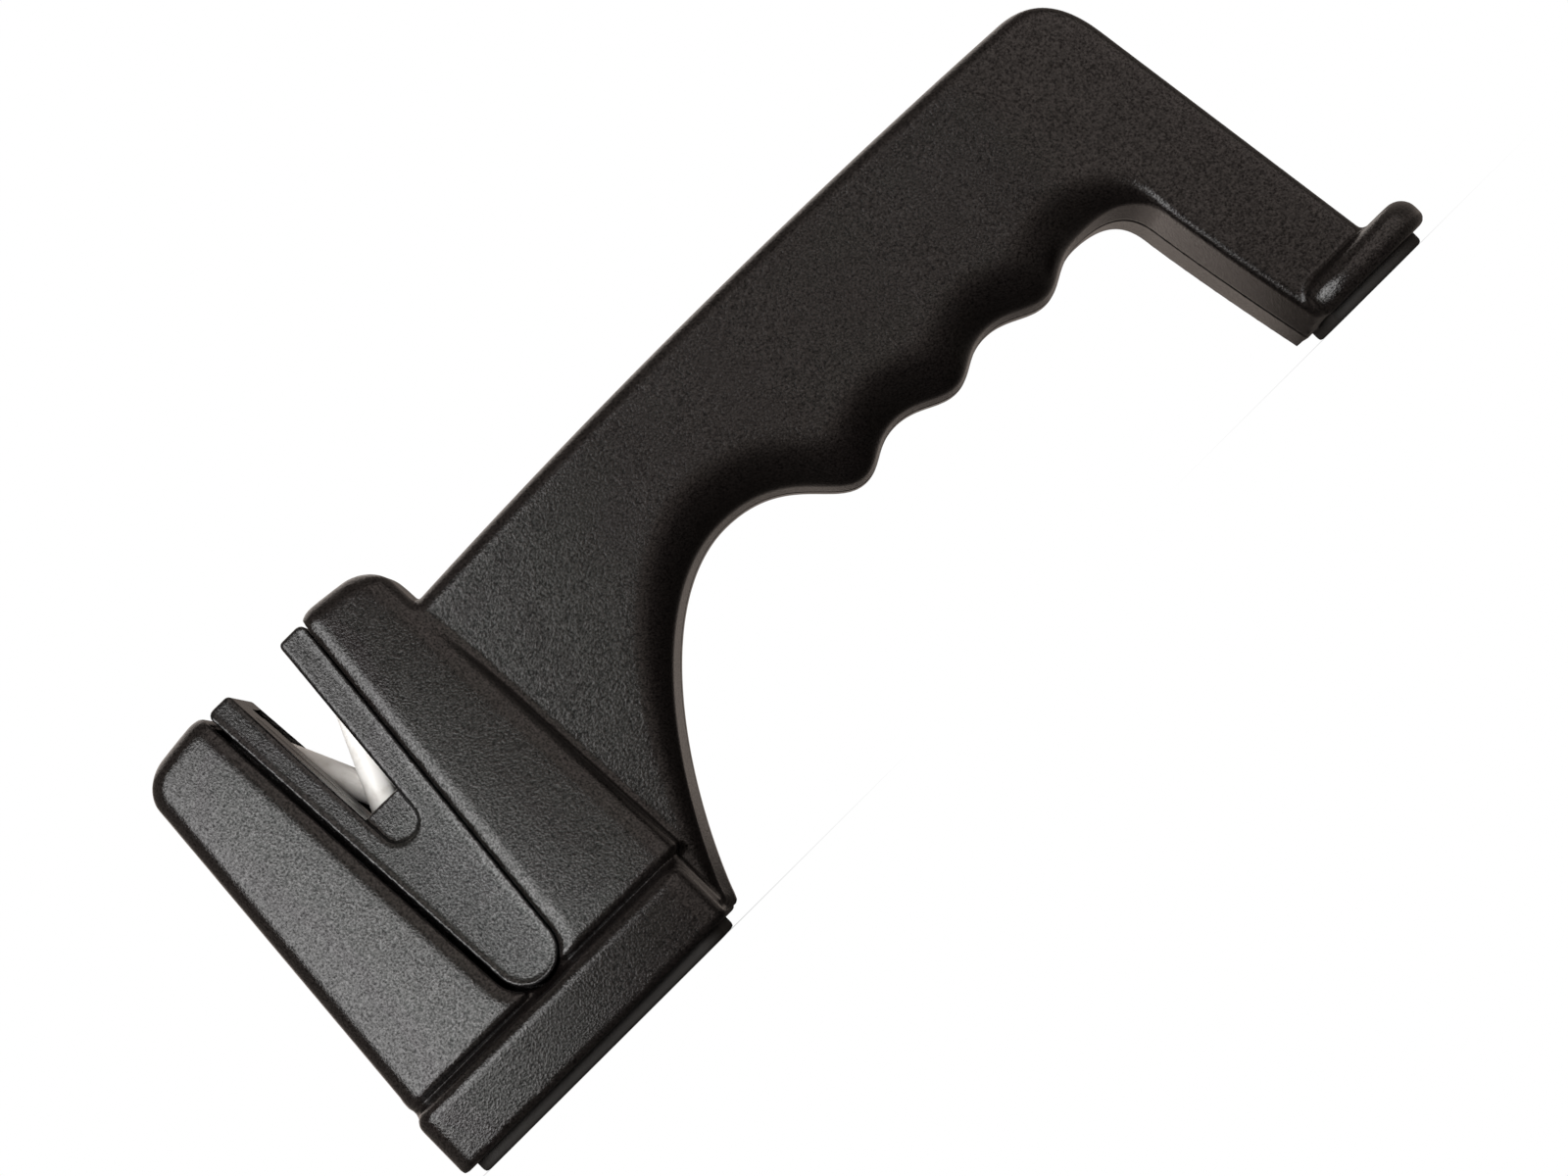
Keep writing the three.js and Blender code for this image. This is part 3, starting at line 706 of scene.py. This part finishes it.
def moulded_abs(name, dark, light):
    """Moulded ABS from a spark-eroded tool: a fine leathery grain that breaks up the gloss."""
    material, tree, surface, place = new_material(name)
    handled = add_node(tree, "ShaderNodeTexNoise", {"Vector": place, "Scale": per_mm(14), "Detail": 3})
    # The real grain is a little finer and would blur away at a usual picture size.
    grain = add_node(tree, "ShaderNodeTexNoise",
                     {"Vector": place, "Scale": per_mm(grain_size), "Detail": 2, "Roughness": 0.6})
    sheen = add_node(tree, "ShaderNodeMapRange",
                     {"Value": handled.outputs["Fac"], "From Min": noise_low, "From Max": noise_high,
                      "To Min": 0.16, "To Max": 0.2})
    # The pits of the grain lie in their own shade, so they are darker and shine less than its tops.
    tops = add_node(tree, "ShaderNodeMapRange",
                    {"Value": grain.outputs["Fac"], "From Min": noise_low, "From Max": noise_high})
    colour = add_node(tree, "ShaderNodeMix", {"Factor": tops.outputs["Result"], "A": to_linear(dark),
                                              "B": to_linear(light)}, data_type="RGBA")
    shine = add_node(tree, "ShaderNodeMapRange",
                     {"Value": grain.outputs["Fac"], "From Min": noise_low, "From Max": noise_high,
                      "To Min": 0.15, "To Max": 0.85})
    bump = add_node(tree, "ShaderNodeBump", {"Height": grain.outputs["Fac"], "Strength": 1,
                                             "Distance": grain_height * MM})
    tree.links.new(colour.outputs["Result"], surface.inputs["Base Color"])
    tree.links.new(sheen.outputs["Result"], surface.inputs["Roughness"])
    tree.links.new(shine.outputs["Result"], surface.inputs["Specular IOR Level"])
    tree.links.new(bump.outputs["Normal"], surface.inputs["Normal"])
    surface.inputs["IOR"].default_value = 1.5
    return material


def ground_ceramic(name, white, rubbed):
    """Fired and ground alumina: a close warm white, satin, with faint grey where steel has rubbed off."""
    material, tree, surface, place = new_material(name)
    traces = add_node(tree, "ShaderNodeTexNoise", {"Vector": place, "Scale": per_mm(2.5), "Detail": 4})
    rubbing = add_node(tree, "ShaderNodeMapRange", {"Value": traces.outputs["Fac"], "From Min": 0.5,
                                                    "From Max": 0.75})
    colour = add_node(tree, "ShaderNodeMix", {"Factor": rubbing.outputs["Result"], "A": to_linear(white),
                                              "B": to_linear(rubbed)}, data_type="RGBA")
    # The real grit is a few hundredths of a millimetre and would not show.
    grit = add_node(tree, "ShaderNodeTexNoise", {"Vector": place, "Scale": per_mm(0.3), "Detail": 1})
    bump = add_node(tree, "ShaderNodeBump", {"Height": grit.outputs["Fac"], "Distance": 0.015 * MM})
    tree.links.new(colour.outputs["Result"], surface.inputs["Base Color"])
    tree.links.new(bump.outputs["Normal"], surface.inputs["Normal"])
    surface.inputs["Roughness"].default_value = 0.4
    surface.inputs["IOR"].default_value = 1.76
    return material


def moulded_rubber(name, dark, light):
    """Moulded black rubber: a dull, finely pitted skin that greys a little with dust."""
    material, tree, surface, place = new_material(name)
    dust = add_node(tree, "ShaderNodeTexNoise", {"Vector": place, "Scale": per_mm(5), "Detail": 4})
    colour = add_node(tree, "ShaderNodeMix", {"Factor": dust.outputs["Fac"], "A": to_linear(dark),
                                              "B": to_linear(light)}, data_type="RGBA")
    pits = add_node(tree, "ShaderNodeTexNoise", {"Vector": place, "Scale": per_mm(0.5), "Detail": 2})
    bump = add_node(tree, "ShaderNodeBump", {"Height": pits.outputs["Fac"], "Distance": 0.06 * MM})
    tree.links.new(colour.outputs["Result"], surface.inputs["Base Color"])
    tree.links.new(bump.outputs["Normal"], surface.inputs["Normal"])
    surface.inputs["Roughness"].default_value = 0.75
    surface.inputs["IOR"].default_value = 1.52
    return material


def zinc_plated_steel(name, dark, light):
    """Turned steel with bright zinc plating: a cool sheen drawn into fine rings, patchy where it dulls."""
    material, tree, surface, place = new_material(name)
    dulling = add_node(tree, "ShaderNodeTexNoise", {"Vector": place, "Scale": per_mm(1.5), "Detail": 3})
    colour = add_node(tree, "ShaderNodeMix", {"Factor": dulling.outputs["Fac"], "A": to_linear(dark),
                                              "B": to_linear(light)}, data_type="RGBA")
    sheen = add_node(tree, "ShaderNodeMapRange",
                     {"Value": dulling.outputs["Fac"], "From Min": noise_low, "From Max": noise_high,
                      "To Min": 0.42, "To Max": 0.28})
    ring_pitch = 0.25
    # A wave texture of scale 1 has a period of a twentieth of a full turn.
    rings = add_node(tree, "ShaderNodeTexWave",
                     {"Vector": place, "Scale": per_mm(ring_pitch) * math.pi / 10},
                     wave_type="RINGS", rings_direction="Y")
    bump = add_node(tree, "ShaderNodeBump", {"Height": rings.outputs["Fac"], "Distance": 0.01 * MM})
    tree.links.new(colour.outputs["Result"], surface.inputs["Base Color"])
    tree.links.new(sheen.outputs["Result"], surface.inputs["Roughness"])
    tree.links.new(bump.outputs["Normal"], surface.inputs["Normal"])
    surface.inputs["Metallic"].default_value = 1
    return material


shell_finish = moulded_abs("moulded_black_abs", "#050404", "#171413")
holder_finish = moulded_abs("moulded_charcoal_abs", "#080808", "#1d1c1c")
rod_finish = ground_ceramic("ground_white_ceramic", "#f6f4f0", "#dedad3")
pad_finish = moulded_rubber("moulded_black_rubber", "#1a1918", "#262422")
screw_finish = zinc_plated_steel("zinc_plated_steel", "#a3a6a9", "#bcbfc2")


# Pieces
def skin_mesh(name, points, faces, material):
    mesh = bpy.data.meshes.new(name)
    mesh.from_pydata(points * MM, [], faces)
    mesh.materials.append(material)
    mesh.shade_smooth()
    return mesh


def turned(skin_parts, x_sign, y_sign):
    """The mirror image of a skin, with its faces still looking outwards."""
    points, faces = skin_parts
    return points * [x_sign, y_sign, 1], faces[:, ::-1]


def add_piece(name, mesh, node, body=BODY, place=(0, 0, 0)):
    """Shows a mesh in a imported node's stead, on the body that it belongs to."""
    piece = bpy.data.objects.new(name, mesh)
    piece.location = Vector(place) * MM
    bpy.context.scene.collection.objects.link(piece)
    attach(piece, body)
    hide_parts(node)


near_skin, far_skin = shell_skins()
add_piece("moulded_near_shell", skin_mesh("near_shell_skin", *turned(near_skin, 1, -1), shell_finish),
          "near_shell")
add_piece("moulded_far_shell", skin_mesh("far_shell_skin", *far_skin, shell_finish), "far_shell")

holder_skin = rod_holder_skin()
add_piece("moulded_near_holder", skin_mesh("near_holder_skin", *turned(holder_skin, 1, -1), holder_finish),
          "near_rod_holder")
add_piece("moulded_far_holder", skin_mesh("far_holder_skin", *turned(holder_skin, -1, 1), holder_finish),
          "far_rod_holder")

rod_points, rod_faces = rod_skin()
for rod in ("near_rod", "far_rod"):
    joint = joints[f"{rod}_turn"]
    stand = Vector((0, 0, 1)).rotation_difference(Vector(joint["axis"])).to_matrix()
    placed = rod_points @ np.array(stand).T + np.array(joint["pos_m"]) / MM
    rod_mesh = skin_mesh(f"{rod}_skin", placed, rod_faces, rod_finish)
    add_piece(f"ground_{rod}", rod_mesh, rod, body=rod)

for pad, outline in (("base_pad", base_pad_outline), ("foot_pad", foot_pad_outline)):
    add_piece(f"rubber_{pad}", skin_mesh(f"{pad}_skin", *pad_skin(outline, *node_box(pad)), pad_finish),
              pad)

screw_mesh = skin_mesh("screw_skin", *screw_skin(), screw_finish)
for screw in SCREWS:
    seat = screw_place(screw)
    seat[1] = screw_seat
    add_piece(f"threaded_{screw}", screw_mesh, screw, place=seat)


# Floor, world, lamps and camera, with the floor's and the lamps' lengths in metres
floor_middle = Vector((70, 0, 0)) * MM
floor_half = 3
floor_shade = 0.45
floor_shade_reach = 0.035
floor_near = 0.06
floor_near_glow = 0.03
floor_far = 0.2
floor_far_glow = 0.34
lamp_aim = Vector((50, 0, 40)) * MM
room_light = 0.2
room_in_gloss = 0.22
room_colour = "#ffeee2"


def ray_kinds(tree):
    """Whether a ray comes from the camera, and whether it is a reflection or came through glass."""
    path = add_node(tree, "ShaderNodeLightPath")
    bent = add_node(tree, "ShaderNodeMath", {0: path.outputs["Is Glossy Ray"],
                                             1: path.outputs["Is Transmission Ray"]}, operation="MAXIMUM")
    return path.outputs["Is Camera Ray"], bent.outputs[0]


def set_world():
    """White behind the object; in reflections the room is warm and dim, so that black stays black."""
    world = bpy.data.worlds.new("studio")
    bpy.context.scene.world = world
    world.use_nodes = True
    tree = world.node_tree
    camera, bent = ray_kinds(tree)
    room = add_node(tree, "ShaderNodeMath", {0: bent, 1: room_in_gloss - room_light, 2: room_light},
                    operation="MULTIPLY_ADD")
    level = add_node(tree, "ShaderNodeMath", {0: camera, 1: room.outputs[0]}, operation="MAXIMUM")
    tint = add_node(tree, "ShaderNodeMix", {"Factor": camera, "A": to_linear(room_colour),
                                            "B": to_linear("#ffffff")}, data_type="RGBA")
    background = tree.nodes["Background"]
    tree.links.new(tint.outputs["Result"], background.inputs["Color"])
    tree.links.new(level.outputs[0], background.inputs["Strength"])


def add_floor():
    """A pale floor, white to the camera but for a painted shade where the object stands on it.

    In reflections it glows dim close to the object, a painted shade, and paler a hand's width off.
    """
    mesh = bpy.data.meshes.new("floor")
    corners = [(x, y, 0) for x, y in ((-1, -1), (1, -1), (1, 1), (-1, 1))]
    mesh.from_pydata(np.array(corners) * floor_half, [], [(0, 1, 2, 3)])
    floor = bpy.data.objects.new("floor", mesh)
    bpy.context.scene.collection.objects.link(floor)
    material, tree, surface, place = new_material("matt_paper_sweep")
    surface.inputs["Base Color"].default_value = to_linear("#606060")
    surface.inputs["Roughness"].default_value = 0.9
    camera, bent = ray_kinds(tree)
    # The shade near the object is painted into the floor's glow from an occlusion test, not cast by the
    # lamps.
    shade = add_node(tree, "ShaderNodeAmbientOcclusion", {"Distance": floor_shade_reach}, samples=8)
    white = add_node(tree, "ShaderNodeMapRange", {"Value": shade.outputs["AO"], "To Min": floor_shade,
                                                  "To Max": 1})
    away = add_node(tree, "ShaderNodeVectorMath", {0: place, 1: floor_middle}, operation="DISTANCE")
    # In reflections the floor glows dim near the object, a painted shade, and pale farther off.
    pale = add_node(tree, "ShaderNodeMapRange",
                    {"Value": away.outputs["Value"], "From Min": floor_near, "From Max": floor_far,
                     "To Min": floor_near_glow, "To Max": floor_far_glow})
    level = add_node(tree, "ShaderNodeMix", {"Factor": camera, "A": pale.outputs["Result"],
                                             "B": white.outputs["Result"]})
    tint = add_node(tree, "ShaderNodeMix", {"Factor": camera, "A": to_linear(room_colour),
                                            "B": to_linear("#ffffff")}, data_type="RGBA")
    glow = add_node(tree, "ShaderNodeEmission", {"Strength": level.outputs["Result"],
                                                 "Color": tint.outputs["Result"]})
    seen = add_node(tree, "ShaderNodeMath", {0: camera, 1: bent}, operation="MAXIMUM")
    mixed = add_node(tree, "ShaderNodeMixShader", {0: seen.outputs[0], 1: surface.outputs["BSDF"],
                                                   2: glow.outputs["Emission"]})
    tree.links.new(mixed.outputs["Shader"], tree.nodes["Material Output"].inputs["Surface"])
    mesh.materials.append(material)


def add_lamp(name, azimuth, elevation, distance, size, glow, colour, roll=0, mirrored=True):
    """A square soft lamp that looks at the object; with a glow of 1 its face is as bright as white paper.

    Azimuth runs from the front towards the rear foot, and roll turns the lamp about its own axis.
    """
    turn, rise = math.radians(azimuth), math.radians(elevation)
    way = Vector((math.sin(turn) * math.cos(rise), -math.cos(turn) * math.cos(rise), math.sin(rise)))
    light = bpy.data.lights.new(name, "AREA")
    light.size = size
    light.energy = glow * math.pi * size**2
    light.color = to_linear(colour)[:3]
    lamp = bpy.data.objects.new(name, light)
    lamp.location = lamp_aim + way * distance
    lamp.rotation_mode = "QUATERNION"
    lamp.rotation_quaternion = (-way).to_track_quat("-Z", "Y") @ Quaternion((0, 0, 1), math.radians(roll))
    lamp.visible_glossy = mirrored
    lamp.visible_camera = False
    bpy.context.scene.collection.objects.link(lamp)


def add_camera():
    eye = Vector((47.35, -552.3, 1.2)) * MM
    aim = Vector((68.37, 0, 32.51)) * MM
    roll = math.radians(-44.88)
    lens = bpy.data.cameras.new("camera")
    lens.sensor_width = 36
    lens.lens = 79.8
    lens.clip_start = 0.01
    camera = bpy.data.objects.new("camera", lens)
    camera.location = eye
    look = (aim - eye).to_track_quat("-Z", "Y")
    camera.rotation_mode = "QUATERNION"
    camera.rotation_quaternion = look @ Quaternion((0, 0, 1), roll)
    bpy.context.scene.collection.objects.link(camera)
    bpy.context.scene.camera = camera


add_floor()
set_world()
add_lamp("key", azimuth=-29, elevation=15, distance=1.0, size=0.74, glow=4.5, colour="#ffffff", roll=45)
add_lamp("fill", azimuth=-14, elevation=14, distance=1.0, size=0.4, glow=13, colour="#ffffff",
         mirrored=False)
add_lamp("warm_side", azimuth=47, elevation=5, distance=1.0, size=1.5, glow=0.55, colour="#fff0e8")
add_lamp("rear_left", azimuth=-157, elevation=6, distance=1.1, size=0.65, glow=0.5, colour="#fff0e6")
add_lamp("rear_top", azimuth=178, elevation=52, distance=1.2, size=1.2, glow=1.0, colour="#fff4ec")
add_camera()
bpy.context.scene.view_settings.view_transform = "Standard"
